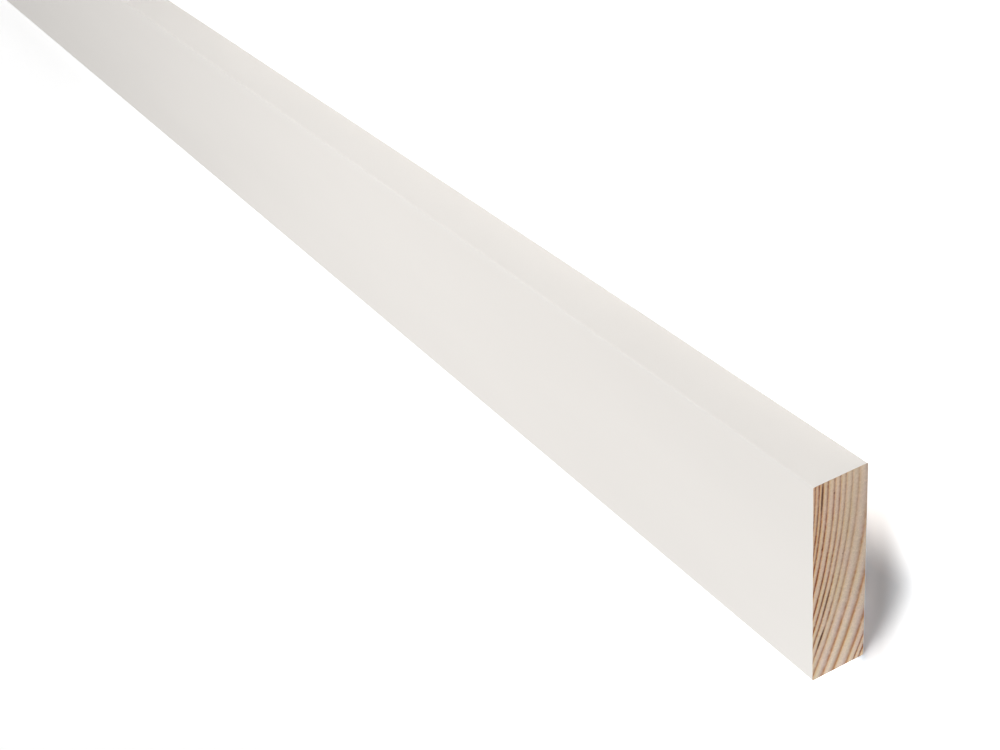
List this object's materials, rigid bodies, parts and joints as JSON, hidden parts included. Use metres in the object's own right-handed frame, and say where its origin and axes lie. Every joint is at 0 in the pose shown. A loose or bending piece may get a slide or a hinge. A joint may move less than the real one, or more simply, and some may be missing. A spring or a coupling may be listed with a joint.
{
  "type": "flat moulding",
  "caption": "Straight flat moulding of planed pine with a plain rectangular section, painted white on its long faces and sawn square at its bare ends.",
  "frame": {"origin": "centre of the back face, on the floor that the moulding lies on", "axes": "+X along the length towards the sawn end nearest in the picture, +Y across the width towards the edge that is uppermost in the picture, +Z out of the front face"},
  "size_m": [2.4, 0.043, 0.012],
  "materials": {
    "painted_pine": "satin"
  },
  "bodies": {
    "root": {"flat_moulding": "painted_pine"}
  },
  "joints": []
}
